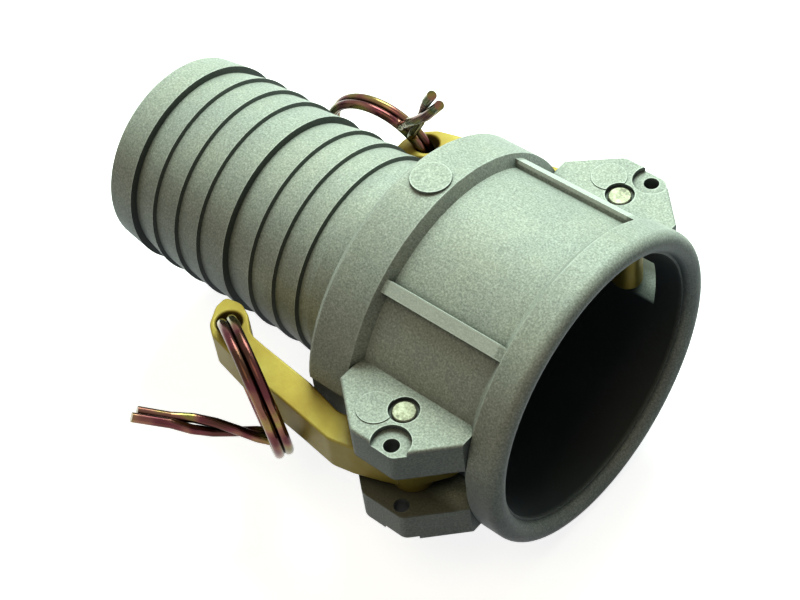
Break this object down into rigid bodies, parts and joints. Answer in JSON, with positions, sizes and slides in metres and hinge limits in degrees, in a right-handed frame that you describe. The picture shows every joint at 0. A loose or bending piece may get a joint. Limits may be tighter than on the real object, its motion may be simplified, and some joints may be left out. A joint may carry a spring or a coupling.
{
  "type": "cam and groove coupling",
  "caption": "Cam and groove hose coupler: a cast socket with a gasket, a barbed hose tail and two hinged cam arms, each with a wire pull ring.",
  "frame": {"origin": "centre of the mouth, in the plane of its rounded edge", "axes": "+X along the flow axis out of the mouth, +Z along the pivot pins, one arm on each side along Y"},
  "size_m": [0.1285, 0.1133, 0.0774],
  "materials": {
    "casting": "bead-blasted casting, fine grain",
    "gasket_rubber": "matt black",
    "pin_steel": "bright, lightly worn",
    "arm_brass": "satin, cast",
    "ring_wire": "yellow zinc plated, iridescent"
  },
  "bodies": {
    "coupler": {"coupler_body": "casting", "gasket": "gasket_rubber", "pivot_pin_left": "pin_steel", "pivot_pin_right": "pin_steel"},
    "left_arm": {"cam_arm_left": "arm_brass"},
    "right_arm": {"cam_arm_right": "arm_brass"},
    "left_ring": {"pull_ring_left": "ring_wire"},
    "right_ring": {"pull_ring_right": "ring_wire"}
  },
  "joints": [
    {"name": "arm_left", "type": "hinge", "parent": "coupler", "child": "left_arm", "pos_m": [-0.02305, 0.03715, 0], "axis": [0, 0, -1], "range_deg": [0, 128]},
    {"name": "arm_right", "type": "hinge", "parent": "coupler", "child": "right_arm", "pos_m": [-0.02305, -0.03715, 0], "axis": [0, 0, 1], "range_deg": [-3.6, 124.4]},
    {"name": "ring_left", "type": "hinge", "parent": "left_arm", "child": "left_ring", "pos_m": [-0.07665, 0.03265, 0], "axis": [0, 0, -1], "range_deg": [0, 157]},
    {"name": "ring_right", "type": "hinge", "parent": "right_arm", "child": "right_ring", "pos_m": [-0.07683, -0.03603, 0], "axis": [0, 0, -1], "range_deg": [0, 90]}
  ]
}
